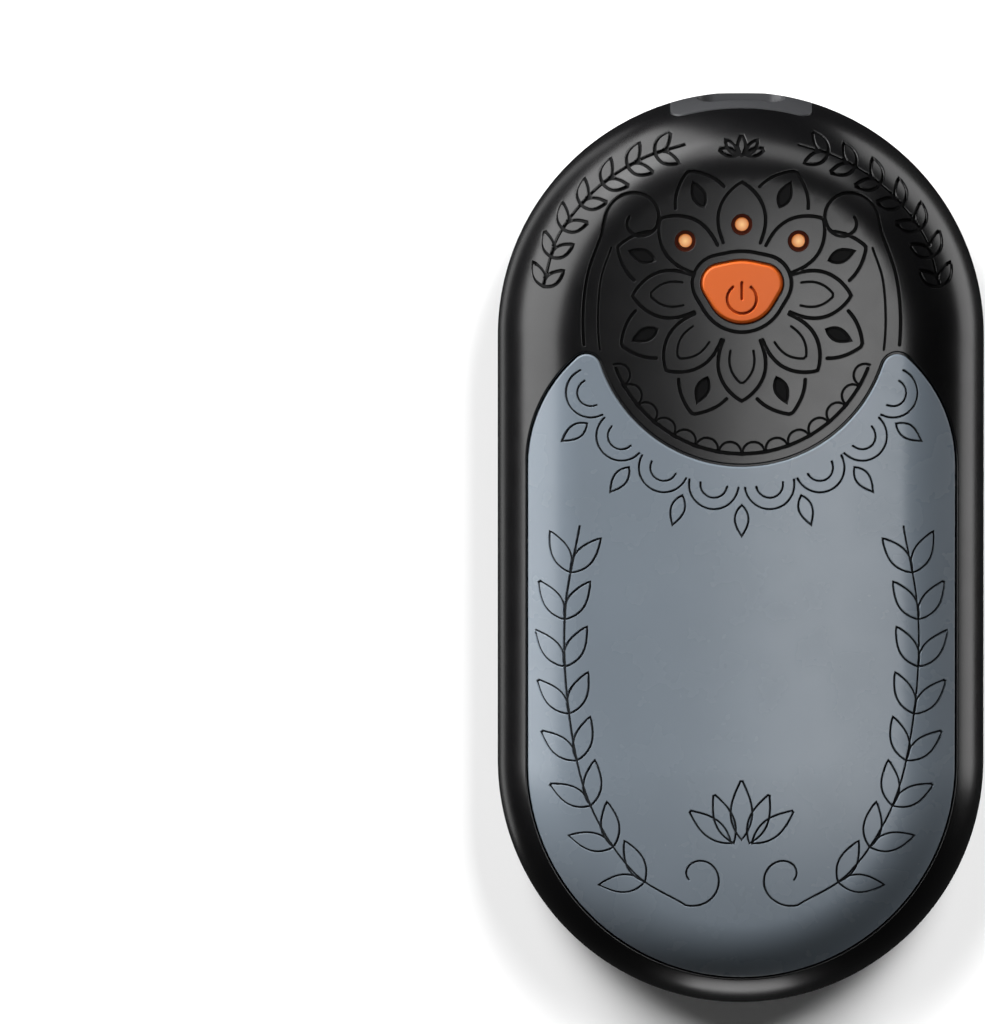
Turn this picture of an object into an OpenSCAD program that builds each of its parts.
// Rechargeable hand warmer: a pebble-shaped pocket heater with a lithium cell,
// two film heaters and one button. It lies on its flat back: +X is its right
// side, +Y its charging end and +Z leaves the front face. Millimetres.

/* [Body] */
// Width across the body
body_w = 56; // [54:0.5:60]
// Length from the lower end to the charging end
body_l = 105; // [103:0.5:114]
// Thickness from the flat back to the top of the crown
body_t = 20; // [19.8:0.1:21.4]
// Height of the seam between the two shells, and radius of the back's edge
seam_h = 8; // [7.8:0.1:8.3]
// Height of the front's crown above the rolled edge
crown_h = 1; // [0.7:0.1:1.3]
// Thickness of the shell walls
wall = 1.8; // [1.7:0.05:2]
// Height of the tongue that locates one shell in the other
tongue_h = 1.2; // [0.8:0.1:1.6]
// Thickness of that tongue
tongue_t = 0.8; // [0.6:0.05:0.9]
// Clearance round the tongue
tongue_gap = 0.1; // [0.05:0.01:0.15]

/* [Grip panel] */
// Width of the black rim round the panel
rim_w = 3.4; // [3:0.1:3.7]
// Thickness of the panel
panel_t = 1.1; // [0.9:0.05:1.2]
// Gap round the panel
panel_gap = 0.22; // [0.1:0.01:0.28]
// Width of the ledge that the panel is glued to
ledge_w = 2; // [1.6:0.1:2.4]
// Width of the panel's two horns beside the round lobe that dips into it
horn_w = 7.5; // [7:0.1:8]
// Distance of the lobe's centre from the charging end
lobe_l = 25.5; // [25:0.1:26.2]
// Radius of the panel's shoulders
shoulder_r = 16.6; // [15.8:0.1:17.4]
// Distance of the shoulders' centres from the charging end
shoulder_l = 42.6; // [42:0.1:43.4]
// Radius of the panel's two upper tips
tip_r = 1.7; // [1.4:0.1:1.9]

/* [Button] */
// Width of the power button
button_w = 9.1; // [8.6:0.1:9.8]
// Height of the power button
button_h = 7; // [6.7:0.1:7.5]
// Distance of the button's centre from the charging end
button_l = 22.5; // [22.3:0.1:23.1]
// How far the button stands out of the face
button_proud_h = 0.4; // [0.32:0.02:0.6]
// Gap round the button
button_gap = 0.15; // [0.1:0.01:0.25]
// Travel of the button
button_travel = 0.3; // [0.2:0.01:0.32]
// Width of the flange that keeps the button in
button_flange_w = 0.8; // [0.6:0.05:0.9]
// Thickness of that flange
button_flange_t = 0.7; // [0.5:0.05:0.8]

/* [Lights] */
// Distance of the upper light from the charging end
light_top_l = 14.8; // [14.4:0.1:15.3]
// Distance of the two side lights from the charging end
light_side_l = 16.7; // [16.3:0.05:16.9]
// Distance of the side lights from the middle line
light_side_x = 6.5; // [6.2:0.1:7.2]
// Radius of a light guide's posts
light_r = 0.7; // [0.6:0.05:0.8]
// Radius of the windows in the face
window_r = 1.1; // [1:0.05:1.3]
// Depth of the windows
window_depth = 0.5; // [0.4:0.05:0.8]

/* [Charging end] */
// Length of the end plate
plate_l = 16.3; // [15.6:0.1:17.2]
// Height of the end plate
plate_h = 7.5; // [7.2:0.1:7.9]
// Radius of its corners
plate_corner = 1.7; // [1.4:0.1:2.2]
// Height of the charging socket's middle above the back
port_z = 9.8; // [9.6:0.05:10]
// Depth of the end plate's flat face behind the outermost point of the end
plate_land = 0.15; // [0.1:0.01:0.3]
// Thickness of the end plate
plate_t = 3.4; // [3.2:0.05:3.6]
// Width of the socket's metal shell
socket_w = 8.94; // [8.6:0.02:9.2]
// Height of the socket's metal shell
socket_h = 3.26; // [3.16:0.02:3.4]
// Length of the socket
socket_l = 8.6; // [8:0.1:9.2]

/* [Battery] */
// Distance of the cell's pouch from the lower end
cell_end_l = 16.1; // [15.8:0.1:18]
// Length of the pouch's sealed terrace, which its tabs leave
terrace_l = 4.2; // [3.8:0.1:4.6]
// Air between the cell and its tray
cell_gap = 0.3; // [0.2:0.05:0.4]
// Thickness of the foam between the cell and the front heater
front_pad_t = 3; // [2.4:0.1:3.6]
// Thickness of the foam under the tray
back_pad_t = 0.8; // [0.5:0.05:1]

/* [Heaters] */
// Thickness of the aluminium heat plates
heat_t = 0.7; // [0.5:0.05:0.8]
// Thickness of the film heaters
film_t = 0.2; // [0.1:0.02:0.26]
// Air round the back heat plate
back_plate_gap = 1; // [0.6:0.1:2]

/* [Board] */
// Length that the board takes at the charging end
board_l = 30.4; // [30:0.1:31]
// Thickness of the circuit board
board_t = 1; // [0.8:0.05:1.1]
// Width of the switch under the button
switch_w = 6; // [5.6:0.1:6.4]
// Height of the switch's body
switch_h = 3.1; // [2.9:0.05:3.2]

/* [Fasteners] */
// Radius of the housing screws' shanks
screw_r = 0.95; // [0.85:0.05:1.05]
// Radius of their heads
screw_head_r = 1.9; // [1.7:0.05:2]
// Length under the head
screw_l = 9; // [7.5:0.5:9.5]
// Radius of the magnets
magnet_r = 4; // [3.4:0.1:4.2]
// Thickness of the magnets
magnet_t = 1.4; // [1:0.1:1.5]

/* [Hidden] */
$fn = 96;
crown_fn = 360; // the crown's arcs are short pieces of a large circle
arc_steps = 14; // straight runs in each arc of a drawn outline
over = 1; // overrun of every cut
skin = 0.1; // air left between pieces that are only near each other
glue = 0.05; // thickness of a layer of glue

// The body is a section carried round a long oval: two half turns and a run
end_r = body_w / 2;
end_y = body_l / 2 - end_r;
front_h = body_t - seam_h;
front_roll = front_h - crown_h;
roll_x = end_r - front_roll;
crown_r = (roll_x * roll_x + front_h * front_h - front_roll * front_roll) / (2 * crown_h);
crown_z = body_t - crown_r;
back_x = end_r - seam_h;

// Places along the length, from the charging end or the lower end
high_y = body_l / 2;
lobe_y = high_y - lobe_l;
shoulder_y = high_y - shoulder_l;
button_y = high_y - button_l;
light_top_y = high_y - light_top_l;
light_side_y = high_y - light_side_l;
tray_rib_y = high_y - board_l;
cell_low_y = cell_end_l - high_y;
screw_high_l = 38.5;
screw_high_y = high_y - screw_high_l;
magnet_high_l = 18.5;
magnet_high_y = high_y - magnet_high_l;
magnet_low_l = 11.3;
magnet_low_y = magnet_low_l - high_y;

// Distance of a point from the oval's middle line, and height of the face there
function spine_dist(x, y) = norm([x, max(0, abs(y) - end_y)]);
function face_z(x, y, depth = 0) = crown_z
    + sqrt(pow(crown_r - depth, 2) - pow(spine_dist(x, y), 2));

// Points of an arc, from one angle to another
function arc(centre, r, from, to) = [for (i = [0 : arc_steps])
    let (a = from + (to - from) * i / arc_steps) centre + r * [cos(a), sin(a)]];

// The same outline without points that fall on the one before them
function distinct(points) = [for (i = [0 : len(points) - 1])
    if (i == 0 || norm(points[i] - points[max(0, i - 1)]) > glue / arc_steps) points[i]];

// Grip panel, drawn in by inset: each tip's arc touches the lobe and a shoulder
lobe_r = end_r - rim_w - horn_w;
shoulder_x = end_r - rim_w - shoulder_r;
shoulder = [shoulder_x, shoulder_y];
lobe = [0, lobe_y];
function tip_left(inset) = max(tip_r - inset, 0);
function lobe_reach(inset) = lobe_r + inset + tip_left(inset);
function shoulder_reach(inset) = shoulder_r - inset - tip_left(inset);
function tip_a(inset) = atan2(shoulder_y - lobe_y, shoulder_x)
    + acos((pow(lobe_reach(inset), 2) + pow(norm(shoulder - lobe), 2)
        - pow(shoulder_reach(inset), 2)) / (2 * lobe_reach(inset) * norm(shoulder - lobe)));
function tip(inset) = lobe + lobe_reach(inset) * [cos(tip_a(inset)), sin(tip_a(inset))];
function tip_out_a(inset) = atan2(tip(inset)[1] - shoulder_y, tip(inset)[0] - shoulder_x);
function panel_half(inset) = distinct(concat(
    arc(lobe, lobe_r + inset, -90, tip_a(inset)),
    arc(tip(inset), tip_left(inset), 180 + tip_a(inset), tip_out_a(inset)),
    arc(shoulder, shoulder_r - inset, tip_out_a(inset), 0),
    arc([0, -end_y], end_r - rim_w - inset, 0, -90)));

// Power button: the convex outline round four circles, given as [x, y, radius]
button_top_r = 2.1;
button_foot_r = 3.9;
button_brow_r = 6.5;
button_drop = 0.42;
button_side = [button_w / 2 - button_top_r, button_y + button_h / 2 - button_drop - button_top_r];
button_circles = [
    [0, button_y - button_h / 2 + button_foot_r, button_foot_r],
    [button_side[0], button_side[1], button_top_r],
    [0, button_y + button_h / 2 - button_brow_r, button_brow_r],
    [-button_side[0], button_side[1], button_top_r]];
function bearing(c, d) = let (run = [d[0] - c[0], d[1] - c[1]])
    atan2(run[1], run[0]) - acos((c[2] - d[2]) / norm(run));
function turn(from, to) = from + (to - from + 720) % 360;
function round_outline(c, grow) = [for (i = [0 : len(c) - 1])
    let (n = len(c), from = bearing(c[(i + n - 1) % n], c[i]), to = bearing(c[i], c[(i + 1) % n]))
    each arc([c[i][0], c[i][1]], c[i][2] + grow, from, turn(from, to))];

// Levels inside, from the back up
film_z = wall + heat_t;
back_pad_z = film_z + film_t;
tray_z = back_pad_z + back_pad_t;
tray_t = 0.8;
cell_z = tray_z + tray_t;
front_film_depth = panel_t + heat_t + 2 * glue;
inner_depth = front_film_depth + film_t;
front_film_margin = 0.6;
front_film_r = roll_x - front_film_margin;
front_pad_margin = 3.4;
front_pad_w = 2 * (front_film_r - front_pad_margin);
cell_top = face_z(front_pad_w / 2, 0, inner_depth) - skin - front_pad_t;
cell_t = cell_top - cell_z;

// The board lies on the socket, which is level with the end plate
board_z = port_z + socket_h / 2;
board_top = board_z + board_t;
board_edge = 5.8;
land_y = body_l / 2 - plate_land;
port_recess_w = 0.5;
port_recess_t = 1.05;
socket_set = 1;
socket_mouth_y = land_y - socket_set;
socket_back_y = socket_mouth_y - socket_l;
socket_wall = 0.3;
port_gap = 0.13;
plate_gap = 0.12;
plate_flange_w = 0.5;
plate_flange_t = 0.8;
port_block_w = 0.8;
port_block_y = land_y - plate_t - plate_flange_t - skin - port_block_w;
tongue = [6.7, 4.6, 0.7];
tongue_set = 1;
tongue_base_y = socket_mouth_y - tongue_set - tongue[1];
contact = [0.26, 3.4, 0.08];
contact_pitch = 0.5;
contact_count = 12;

// Button stem and switch plunger
button_stem_r = 1.4;
flange_reach = norm([button_w / 2 + button_flange_w, button_h / 2 + button_flange_w]);
flange_gap = 0.12;
flange_top = face_z(flange_reach, button_y, wall) - flange_gap;
flange_low = flange_top - button_flange_t;
plunger_r = 1.6;
plunger_gap = 0.05;
plunger_depth = 1.2;
plunger_h = 0.8;
plunger_top = board_top + switch_h + plunger_h;

// Light guide, and the light chips under its posts
guide_gap = 0.1;
guide_web_t = 0.8;
guide_web_w = 1.6;
guide_sink = 0.2;
guide_web_top = face_z(light_side_x, light_side_y, wall) - skin;
lights = [[0, light_top_y], [light_side_x, light_side_y], [-light_side_x, light_side_y]];
light_chip = [1.6, 0.8, 0.6];
guide_foot = board_top + light_chip[2] + skin;

// Screws: two beside the cell's upper end, two beyond its lower end
screw_inset = 6.8;
screw_low_a = 52;
boss_r = 2.6;
boss_h = 1;
boss_top = seam_h + boss_h;
seat_h = 3.4;
seat_z = boss_top + seat_h;
well_r = screw_head_r + 2 * skin;
post_wall = 0.9;
post_r = well_r + post_wall;
pilot_r = screw_r - skin;
pilot_spare = 0.5;
screw_clear = 0.15;
screw_head_t = 1.2;
screw_ring = end_r - screw_inset;
screws = [for (s = [-1, 1]) each [[s * screw_ring, screw_high_y],
    [s * screw_ring * cos(screw_low_a), -end_y - screw_ring * sin(screw_low_a)]]];

// The tray that carries the cell and the board
tray_wall = 1;
tray_wall_h = boss_top - skin - cell_z;
tray_x = screw_ring - boss_r - cell_gap;
tray_high = tray_rib_y + tray_wall;
cell_w = 2 * (tray_x - tray_wall - cell_gap);
cell_high_y = tray_rib_y - cell_gap - terrace_l;
cell_l = cell_high_y - cell_low_y;
tray_low = cell_low_y - cell_gap - tray_wall;
board_w = cell_w;
board_post_in = 2.6;
board_post_a = 52;
board_post_ring = end_r - board_edge - board_post_in;
board_post_x = board_post_ring * cos(board_post_a);
board_post_y = end_y + board_post_ring * sin(board_post_a);
board_post_r = 2;
tray_nose_w = 2 * (board_post_x + board_post_r) + tray_wall;
tray_nose_y = board_post_y + board_post_r;
board_screw_r = 0.7;
board_screw_head_r = 1.4;
board_screw_head_t = 0.8;
board_screw_l = 5;
rail_w = 1;
rail_x = tray_x - rail_w;
lead_window = [5, 3.2];
lead_window_in = 4;
lead_window_x = lead_window_in - board_post_x;

// Battery details
pouch_edge = 1.5;
terrace_h = 3.4;
terrace_t = 0.6;
tab = [3, 3, 0.5];
tab_in = 10;
tab_x = cell_w / 2 - tab_in;
guard_margin = 4;
guard = [cell_w - 2 * guard_margin, 3.4, 0.8];
guard_y = cell_high_y + cell_gap;
tab_z = cell_z + terrace_h;
guard_z = tab_z + tab[2];
connector = [6, 4.6, 3.8];
connector_y = tray_high + terrace_l;
connector_x = 2.6;

// Heater and sensor details
back_plate_corner = 4;
back_film_margin = 1;
back_pad_margin = 2;
back_plate_w = 2 * (rail_x - rail_w / 2 - back_plate_gap);
magnet_ring = 0.7;
magnet_reach = magnet_r + skin + magnet_ring + back_plate_gap;
back_plate_low = magnet_low_y + magnet_reach;
back_plate_high = magnet_high_y - magnet_reach;
back_plate_l = back_plate_high - back_plate_low;
back_plate_y = (back_plate_high + back_plate_low) / 2;
front_film_l = 16;
front_film_high = tray_rib_y - front_film_l;
lead_r = 0.45;
lead_stand = 0.9;
back_lead_x = [lead_window_x - lead_stand, lead_window_x + lead_stand];
front_lead_x = [-4.4, -2.6];
cell_lead_x = [connector_x - lead_stand, connector_x + lead_stand];
sensor_x = 9;
sensor_r = 0.9;
sensor_lead_r = 0.3;
sensor_y = front_film_high - 2 * lead_stand;
front_pad_l = sensor_y - sensor_r - cell_gap + end_y;

// Board parts
control_chip_size = [4, 4, 0.9];
control_chip_at = [-9, button_y];
coil_size = [5, 5, 2.4];
coil_at = [-6.5, button_y + coil_size[1]];
transistor = [2.9, 1.6, 1];
transistor_pitch = 3.4;
transistor_at = [10, tray_high + transistor_pitch];
transistor_count = 3;
capacitor = [2, 1.25, 1];
capacitor_pitch = 2.6;
capacitor_in = 5.5;
capacitor_at = [capacitor_in - board_w / 2, tray_high + capacitor_pitch];
capacitor_count = 5;

// Section of the front, above the seam
module front_section(inset) {
    lean = [roll_x, seam_h - crown_z] / (crown_r - front_roll);
    roll = [roll_x, seam_h];
    top = roll + 2 * body_t * lean;
    intersection() {
        translate([0, crown_z])
            circle(crown_r - inset, $fn = crown_fn);
        polygon([[-roll[0], roll[1]], roll, top, [-top[0], top[1]]]);
    }
    for (s = [0, 1])
        mirror([s, 0])
            intersection() {
                translate(roll)
                    circle(front_roll - inset);
                polygon([roll, [body_w, seam_h], [body_w, top[1]], top]);
            }
}

// Section of the back, below the seam
module back_section(inset) {
    translate([-back_x, inset])
        square([2 * back_x, seam_h - inset]);
    for (s = [0, 1])
        mirror([s, 0])
            intersection() {
                translate([back_x, seam_h])
                    circle(seam_h - inset);
                translate([back_x, 0])
                    square([body_w, seam_h]);
            }
}

module front_ring(outer, inner) {
    difference() {
        front_section(outer);
        front_section(inner);
    }
}

module back_ring(outer, inner) {
    difference() {
        back_section(outer);
        back_section(inner);
    }
}

// Small section on the seam, from one depth in the wall to another
module seam_strip(outer, inner, height) {
    for (s = [0, 1])
        mirror([s, 0])
            translate([end_r - inner, seam_h])
                square([inner - outer, height]);
}

// Turns a section round one end, by 180 or 360 degrees
module turned(s, angle = 180) {
    translate([0, s * end_y])
        mirror([0, s < 0 ? 1 : 0])
            rotate_extrude(angle = angle)
                intersection() {
                    children();
                    square([2 * body_w, 2 * body_t]);
                }
}

// Runs a section along the straight middle
module run() {
    rotate([90, 0, 0])
        linear_extrude(2 * end_y, center = true)
            children();
}

// Carries a section round the whole body
module around() {
    turned(1)
        children();
    turned(-1)
        children();
    run()
        children();
}

// Band on the seam, from one depth in the wall to another, open above y_high
module seam_band(outer, inner, height, y_high) {
    difference() {
        around()
            seam_strip(outer, inner, height);
        translate([-body_w / 2, y_high, 0])
            cube([body_w, body_l, body_t]);
    }
}

// The whole body's shape round its charging end
module end_form(inset) {
    turned(1, 360) {
        front_section(inset);
        back_section(inset);
    }
}

// Upright prism over a plan shape
module prism(low, high) {
    translate([0, 0, low])
        linear_extrude(high - low)
            children();
}

module panel_plan(inset) {
    half = panel_half(inset);
    polygon(concat(half, [for (i = [len(half) - 2 : -1 : 1]) [-half[i][0], half[i][1]]]));
}

module button_plan(grow) {
    polygon(distinct(round_outline(button_circles, grow)));
}

// A layer of the front under a plan shape; no such layer reaches the charging end
module front_layer(outer, inner) {
    intersection() {
        union() {
            turned(-1)
                front_ring(outer, inner);
            run()
                front_ring(outer, inner);
        }
        prism(seam_h + over, 2 * body_t)
            children();
    }
}

// A slot with round ends that faces the charging end, from y_low to y_high
module end_slot(length, height, y_low, y_high) {
    span = length - height;
    translate([0, y_high, port_z])
        rotate([90, 0, 0])
            linear_extrude(y_high - y_low) {
                for (s = [-1, 1])
                    translate([s * span / 2, 0])
                        circle(height / 2);
                square([span, height], center = true);
            }
}

// The end plate's outline grown by a distance, from y_low to y_high
module plate_slot(grow, y_low, y_high) {
    translate([0, y_high, port_z])
        rotate([90, 0, 0])
            linear_extrude(y_high - y_low) {
                square([plate_l + 2 * grow, plate_h - 2 * plate_corner], center = true);
                square([plate_l - 2 * plate_corner, plate_h + 2 * grow], center = true);
                for (a = [-1, 1], b = [-1, 1])
                    translate([a * (plate_l / 2 - plate_corner), b * (plate_h / 2 - plate_corner)])
                        circle(plate_corner + grow);
            }
}

// Flat plate with round corners, its lower face at z
module round_plate(size, r, centre, z) {
    translate([centre[0], centre[1], z])
        linear_extrude(size[2]) {
            square([size[0] - 2 * r, size[1]], center = true);
            square([size[0], size[1] - 2 * r], center = true);
            for (a = [-1, 1], b = [-1, 1])
                translate([a * (size[0] / 2 - r), b * (size[1] / 2 - r)])
                    circle(r, $fn = 32);
        }
}

// Insulated lead through a list of points
module lead(points, r) {
    for (i = [0 : len(points) - 2]) {
        step = points[i + 1] - points[i];
        translate(points[i])
            rotate([0, acos(step[2] / norm(step)), atan2(step[1], step[0])])
                cylinder(r = r, h = norm(step), $fn = 24);
        if (i > 0)
            translate(points[i])
                sphere(r, $fn = 24);
    }
}

// Block inside the charging end that holds the end plate's flange
module port_block(low, high) {
    intersection() {
        end_form(skin);
        plate_slot(plate_flange_w + skin + port_block_w, port_block_y, body_l / 2);
        translate([-body_w / 2, 0, low])
            cube([body_w, body_l, high - low]);
    }
}

// Cut for the end plate and its flange
module port_cut() {
    plate_slot(plate_gap, port_block_y - over, body_l / 2 + over);
    plate_slot(plate_flange_w + skin, land_y - plate_t - plate_flange_t - skin,
        land_y - plate_t + skin);
}

module at(points, z) {
    for (p = points)
        translate([p[0], p[1], z])
            children();
}

magnet_places = [[0, magnet_high_y], [0, magnet_low_y]];
board_posts = [for (s = [-1, 1]) [s * board_post_x, board_post_y]];

module back_shell() {
    foot = wall - skin;
    pilot_z = seat_z - screw_l - pilot_spare;
    color([0.05, 0.05, 0.055])
        difference() {
            union() {
                around()
                    back_ring(0, wall);
                seam_band(wall - tongue_t, wall, tongue_h, port_block_y - skin);
                port_block(0, seam_h);
                at(screws, foot)
                    cylinder(r = boss_r, h = boss_top - foot);
                at(magnet_places, foot)
                    cylinder(r = magnet_r + skin + magnet_ring, h = wall + magnet_t - foot);
                at(board_posts, foot)
                    cylinder(r = board_post_r, h = tray_z - foot);
                for (s = [-1, 1])
                    translate([s * rail_x - rail_w / 2, tray_low + rail_w, foot])
                        cube([rail_w, screw_high_y - boss_r - tray_low - 2 * rail_w,
                            tray_z - foot]);
            }
            at(screws, pilot_z)
                cylinder(r = pilot_r, h = boss_top + over - pilot_z);
            at(magnet_places, wall)
                cylinder(r = magnet_r + skin, h = magnet_t + over);
            port_cut();
        }
}

module front_shell() {
    color([0.06, 0.06, 0.065])
        difference() {
            union() {
                difference() {
                    around()
                        front_ring(0, wall);
                    prism(seam_h + over, 2 * body_t)
                        panel_plan(ledge_w);
                }
                port_block(seam_h, body_t);
                at(screws, boss_top)
                    cylinder(r = post_r, h = body_t - wall - boss_top);
            }
            front_layer(-front_h / 2, panel_t)
                panel_plan(-panel_gap);
            seam_band(wall - tongue_t - tongue_gap, wall + over, tongue_h + tongue_gap,
                port_block_y);
            at(screws, seat_z)
                cylinder(r = well_r, h = body_t);
            at(screws, boss_top - over)
                cylinder(r = screw_r + screw_clear, h = body_t);
            prism(seam_h + over, body_t + over)
                button_plan(button_gap);
            for (p = lights) {
                at([p], seam_h + over)
                    cylinder(r = light_r + guide_gap, h = body_t);
                at([p], face_z(p[0], p[1], window_depth))
                    cylinder(r = window_r, h = body_t);
            }
            port_cut();
        }
}

module grip_panel() {
    color([0.5, 0.54, 0.58])
        front_layer(0, panel_t)
            panel_plan(0);
}

module end_plate() {
    flange_y = land_y - plate_t - plate_flange_t;
    recess = 2 * (port_gap + port_recess_w);
    color([0.12, 0.12, 0.13])
        difference() {
            union() {
                intersection() {
                    end_form(0);
                    plate_slot(0, land_y - plate_t - skin, land_y);
                }
                plate_slot(plate_flange_w, flange_y, land_y - plate_t);
            }
            end_slot(socket_w + recess, socket_h + recess, land_y - port_recess_t,
                land_y + over);
            end_slot(socket_w + 2 * port_gap, socket_h + 2 * port_gap,
                flange_y - over, land_y + over);
        }
}

module power_button() {
    color([0.9, 0.38, 0.12]) {
        intersection() {
            prism(flange_top - skin, body_t + over)
                button_plan(0);
            translate([0, 0, button_proud_h])
                turned(1, 360)
                    front_section(0);
        }
        prism(flange_low, flange_top)
            button_plan(button_flange_w);
        translate([0, button_y, plunger_top])
            cylinder(r = button_stem_r, h = flange_low - plunger_top + skin);
    }
}

module light_guide() {
    color([0.95, 0.72, 0.35]) {
        for (p = lights)
            at([p], guide_foot)
                cylinder(r = light_r, h = face_z(p[0], p[1], window_depth)
                    + guide_sink - guide_foot);
        for (i = [1, 2]) {
            step = lights[i] - lights[0];
            at([lights[0]], guide_web_top - guide_web_t)
                rotate(atan2(step[1], step[0]))
                    translate([0, -guide_web_w / 2, 0])
                        cube([norm(step), guide_web_w, guide_web_t]);
        }
    }
}

module main_board() {
    color([0.05, 0.3, 0.16])
        prism(board_z, board_top)
            difference() {
                intersection() {
                    translate([0, end_y])
                        circle(end_r - board_edge);
                    translate([-board_w / 2, tray_rib_y])
                        square([board_w, body_l]);
                }
                for (p = board_posts)
                    translate(p)
                        circle(board_screw_r + screw_clear);
            }
}

module switch_body() {
    hole_z = plunger_top - plunger_h - plunger_depth - button_travel - plunger_gap;
    color([0.13, 0.13, 0.14])
        difference() {
            translate([-switch_w / 2, button_y - switch_w / 2, board_top])
                cube([switch_w, switch_w, switch_h]);
            translate([0, button_y, hole_z])
                cylinder(r = plunger_r + plunger_gap, h = switch_h);
        }
}

module switch_plunger() {
    length = plunger_h + plunger_depth;
    color([0.75, 0.75, 0.74])
        translate([0, button_y, plunger_top - length])
            cylinder(r = plunger_r, h = length);
}

module status_lights() {
    color([1, 0.6, 0.2])
        at(lights, board_top)
            translate([-light_chip[0] / 2, -light_chip[1] / 2])
                cube(light_chip);
}

module socket_shell() {
    color([0.75, 0.75, 0.77])
        difference() {
            end_slot(socket_w, socket_h, socket_back_y, socket_mouth_y);
            end_slot(socket_w - 2 * socket_wall, socket_h - 2 * socket_wall,
                socket_back_y + socket_wall, socket_mouth_y + over);
        }
}

module socket_tongue() {
    base = 2 * (socket_wall + glue);
    color([0.1, 0.1, 0.1]) {
        end_slot(socket_w - base, socket_h - base, socket_back_y + socket_wall + glue,
            tongue_base_y);
        translate([-tongue[0] / 2, tongue_base_y - skin, port_z - tongue[2] / 2])
            cube([tongue[0], tongue[1] + skin, tongue[2]]);
    }
}

module socket_contacts() {
    half = tongue[2] / 2;
    color([0.9, 0.75, 0.35])
        for (i = [0 : contact_count - 1], z = [half, -half - contact[2]])
            translate([(i - (contact_count - 1) / 2) * contact_pitch - contact[0] / 2,
                tongue_base_y + skin, port_z + z])
                cube(contact);
}

module control_chip() {
    color([0.08, 0.08, 0.09])
        at([control_chip_at - [control_chip_size[0], control_chip_size[1]] / 2], board_top)
            cube(control_chip_size);
}

module charge_coil() {
    color([0.25, 0.25, 0.27])
        round_plate(coil_size, coil_size[2] / 4, coil_at, board_z - coil_size[2]);
}

module power_transistors() {
    color([0.1, 0.1, 0.1])
        for (i = [0 : transistor_count - 1])
            at([transistor_at + [0, i * transistor_pitch] - [transistor[0], transistor[1]] / 2],
                board_top)
                cube(transistor);
}

module board_capacitors() {
    color([0.6, 0.5, 0.36])
        for (i = [0 : capacitor_count - 1])
            at([capacitor_at + [i * capacitor_pitch, 0] - [capacitor[0], capacitor[1]] / 2],
                board_top)
                cube(capacitor);
}

module cell_connector() {
    color([0.92, 0.9, 0.85])
        translate([connector_x - connector[0] / 2, connector_y, board_z - connector[2]])
            cube(connector);
}

module cell_pouch() {
    color([0.72, 0.73, 0.76]) {
        round_plate([cell_w, cell_l, cell_t], pouch_edge, [0, cell_high_y - cell_l / 2], cell_z);
        translate([-cell_w / 2 + pouch_edge, cell_high_y - skin, tab_z - terrace_t])
            cube([cell_w - 2 * pouch_edge, terrace_l + skin, terrace_t]);
    }
}

module cell_tabs() {
    color([0.8, 0.8, 0.82])
        for (s = [-1, 1])
            translate([s * tab_x - tab[0] / 2, guard_y, tab_z])
                cube(tab);
}

module cell_guard_board() {
    color([0.1, 0.32, 0.2])
        translate([-guard[0] / 2, guard_y, guard_z])
            cube(guard);
}

// A lead of the cell, from its guard board to the connector
module cell_lead(x) {
    level = guard_z + guard[2] + lead_r;
    lead([[x, guard_y + guard[1] / 2, level], [x, connector_y, level]], lead_r);
}

module cell_lead_red() {
    color([0.8, 0.08, 0.06])
        cell_lead(cell_lead_x[1]);
}

module cell_lead_black() {
    color([0.05, 0.05, 0.05])
        cell_lead(cell_lead_x[0]);
}

module cell_tray() {
    way = cell_lead_x[1] - cell_lead_x[0] + 2 * lead_stand;
    color([0.85, 0.85, 0.82])
        difference() {
            union() {
                translate([-tray_x, tray_low, tray_z])
                    cube([2 * tray_x, tray_high - tray_low, tray_t + tray_wall_h]);
                translate([-tray_nose_w / 2, tray_rib_y, tray_z])
                    cube([tray_nose_w, tray_nose_y - tray_rib_y, tray_t]);
                translate([-cell_w / 2, tray_rib_y, tray_z])
                    cube([cell_w, tray_wall, board_z - tray_z]);
                at(board_posts, tray_z)
                    cylinder(r = board_post_r, h = board_z - tray_z);
            }
            translate([-tray_x + tray_wall, tray_low + tray_wall, cell_z])
                cube([2 * (tray_x - tray_wall), tray_rib_y - tray_low - tray_wall, body_t]);
            translate([connector_x - way / 2, tray_rib_y - over, guard_z])
                cube([way, tray_wall + 2 * over, body_t]);
            translate([lead_window_x - lead_window[0] / 2, tray_high, tray_z - over])
                cube([lead_window[0], lead_window[1], tray_t + 2 * over]);
            at(board_posts, board_top - board_screw_l)
                cylinder(r = board_screw_r - skin, h = board_screw_l);
        }
}

module back_pad() {
    color([0.16, 0.16, 0.17])
        round_plate([back_plate_w - 2 * back_pad_margin, cell_l - 2 * back_pad_margin, back_pad_t],
            back_pad_margin, [0, cell_high_y - cell_l / 2], back_pad_z);
}

module front_pad() {
    color([0.16, 0.16, 0.17])
        round_plate([front_pad_w, front_pad_l, front_pad_t], pouch_edge,
            [0, front_pad_l / 2 - end_y], cell_top);
}

module front_heat_plate() {
    color([0.8, 0.81, 0.83])
        front_layer(panel_t + glue, panel_t + glue + heat_t)
            difference() {
                panel_plan(ledge_w + skin);
                for (p = screws)
                    translate(p)
                        circle(post_r + skin);
            }
}

module front_film_heater() {
    color([0.75, 0.45, 0.12])
        front_layer(front_film_depth, inner_depth)
            translate([0, -end_y]) {
                circle(front_film_r);
                translate([-front_film_r, 0])
                    square([2 * front_film_r, end_y + front_film_high]);
            }
}

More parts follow.
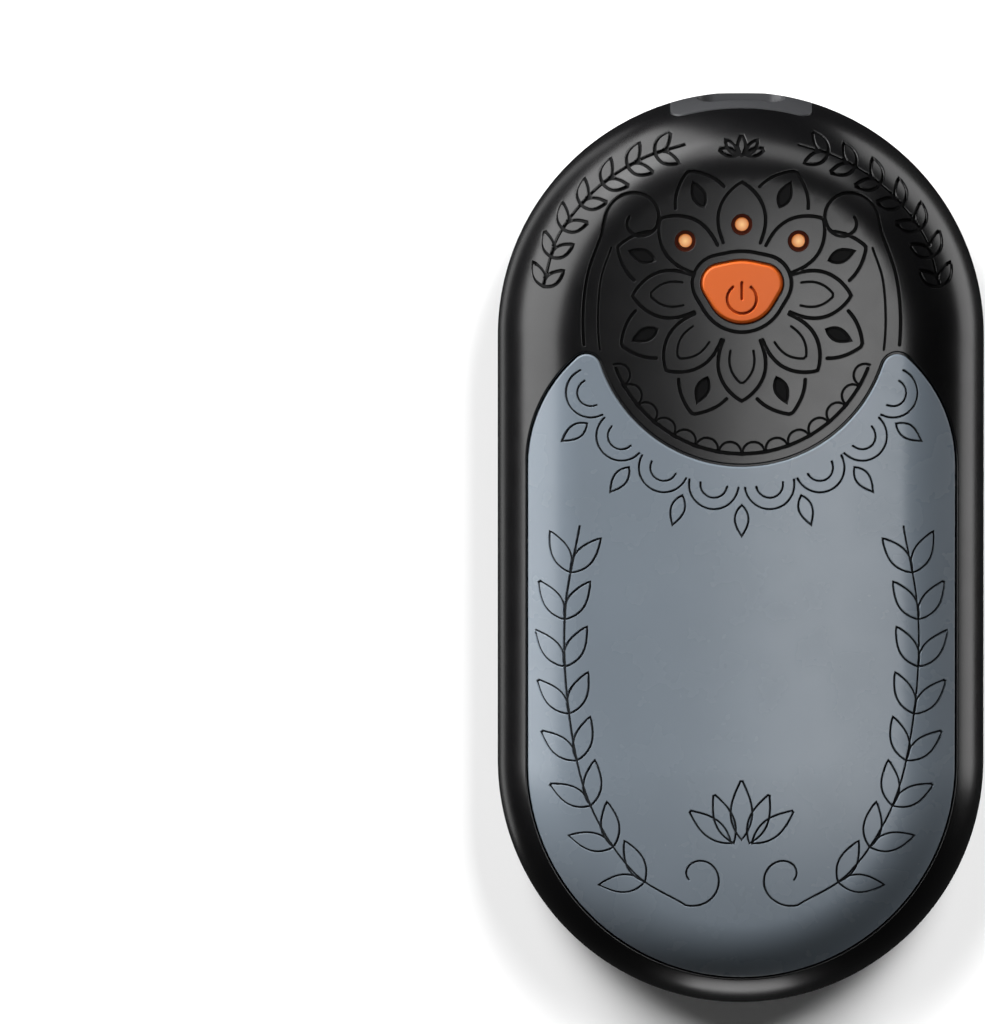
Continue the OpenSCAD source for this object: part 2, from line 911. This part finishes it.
// A lead under the front's inner layers, over the cell and down to the board
module front_lead(x, r) {
    start = front_film_high - lead_stand;
    level = face_z(x, start, inner_depth) - r - skin;
    foot = tray_rib_y + lead_stand;
    lead([[x, start, level], [x, foot, level], [x, foot, board_top + glue]], r);
}

module front_heater_leads() {
    color([0.85, 0.82, 0.75])
        for (x = front_lead_x)
            front_lead(x, lead_r);
}

module heat_sensor() {
    color([0.1, 0.1, 0.12])
        translate([sensor_x, sensor_y, face_z(sensor_x, sensor_y, inner_depth) - sensor_r - skin])
            sphere(sensor_r, $fn = 48);
}

module heat_sensor_leads() {
    color([0.2, 0.2, 0.2])
        for (s = [-1, 1])
            front_lead(sensor_x + s * sensor_r / 2, sensor_lead_r);
}

module back_heat_plate() {
    color([0.8, 0.81, 0.83])
        round_plate([back_plate_w, back_plate_l, heat_t], back_plate_corner,
            [0, back_plate_y], wall);
}

module back_film_heater() {
    edge = 2 * back_film_margin;
    color([0.75, 0.45, 0.12])
        round_plate([back_plate_w - edge, back_plate_l - edge, film_t],
            edge, [0, back_plate_y], film_z);
}

module back_heater_leads() {
    y = tray_high + lead_window[1] / 2;
    color([0.85, 0.82, 0.75])
        for (x = back_lead_x)
            lead([[x, y, film_z + film_t], [x, y, board_z]], lead_r);
}

module magnets() {
    color([0.7, 0.7, 0.72])
        at(magnet_places, wall)
            cylinder(r = magnet_r, h = magnet_t);
}

module housing_screws() {
    color([0.55, 0.55, 0.57])
        at(screws, seat_z) {
            cylinder(r = screw_head_r, h = screw_head_t);
            translate([0, 0, -screw_l])
                cylinder(r = screw_r, h = screw_l + screw_head_t / 2);
        }
}

module board_screws() {
    color([0.55, 0.55, 0.57])
        at(board_posts, board_top) {
            cylinder(r = board_screw_head_r, h = board_screw_head_t);
            translate([0, 0, skin - board_screw_l])
                cylinder(r = board_screw_r, h = board_screw_l);
        }
}

back_shell();
front_shell();
grip_panel();
end_plate();
power_button();
light_guide();
main_board();
switch_body();
switch_plunger();
status_lights();
socket_shell();
socket_tongue();
socket_contacts();
control_chip();
charge_coil();
power_transistors();
board_capacitors();
cell_connector();
cell_pouch();
cell_tabs();
cell_guard_board();
cell_lead_red();
cell_lead_black();
cell_tray();
back_pad();
front_pad();
front_heat_plate();
front_film_heater();
front_heater_leads();
back_heat_plate();
back_film_heater();
back_heater_leads();
heat_sensor();
heat_sensor_leads();
magnets();
housing_screws();
board_screws();
